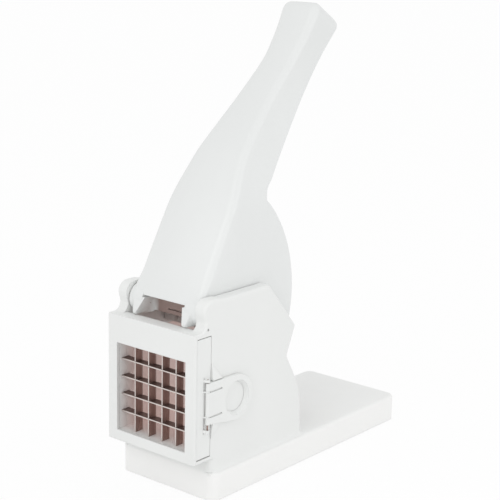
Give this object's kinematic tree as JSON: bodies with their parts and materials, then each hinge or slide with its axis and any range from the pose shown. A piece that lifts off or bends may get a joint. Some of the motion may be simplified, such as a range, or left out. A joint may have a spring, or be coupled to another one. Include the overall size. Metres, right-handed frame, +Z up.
{
  "type": "french fry cutter",
  "caption": "White lever press that pushes a potato through a square steel blade grid, with a slide-out cassette and a folding pull ring",
  "frame": {"origin": "on the table, under the middle of the overall width and length", "axes": "+Z up, front of the blade frame faces -Y, pull ring and the cassette's way out are on +X"},
  "size_m": [0.0874, 0.236, 0.3287],
  "materials": {
    "white_plastic": "satin moulded",
    "blade_steel": "rolled and ground",
    "pin_steel": "turned",
    "foot_rubber": "matte"
  },
  "bodies": {
    "frame": {"stand": "white_plastic", "base_cover": "white_plastic", "foot_front_left": "foot_rubber", "foot_front_right": "foot_rubber", "foot_rear_left": "foot_rubber", "foot_rear_right": "foot_rubber", "cover_screw_front_left": "pin_steel", "cover_screw_front_right": "pin_steel", "cover_screw_rear_left": "pin_steel", "cover_screw_rear_right": "pin_steel", "pivot_pin_left": "pin_steel", "pivot_pin_right": "pin_steel"},
    "lever": {"lever": "white_plastic", "pusher": "white_plastic"},
    "cassette": {"cassette_front": "white_plastic", "cassette_back": "white_plastic", "upright_blade_1": "blade_steel", "upright_blade_2": "blade_steel", "upright_blade_3": "blade_steel", "upright_blade_4": "blade_steel", "level_blade_1": "blade_steel", "level_blade_2": "blade_steel", "level_blade_3": "blade_steel", "level_blade_4": "blade_steel", "ring_pin": "pin_steel"},
    "ring": {"pull_ring": "white_plastic"}
  },
  "joints": [
    {"name": "lever_hinge", "type": "hinge", "parent": "frame", "child": "lever", "pos_m": [0, -0.097, 0.1312], "axis": [1, 0, 0], "range_deg": [-68, 0]},
    {"name": "cassette_slide", "type": "slide", "parent": "frame", "child": "cassette", "axis": [1, 0, 0], "range_m": [0, 0.1]},
    {"name": "ring_hinge", "type": "hinge", "parent": "cassette", "child": "ring", "pos_m": [0.0421, -0.1071, 0.07115], "axis": [0, 0, 1], "range_deg": [-90, 0]}
  ]
}
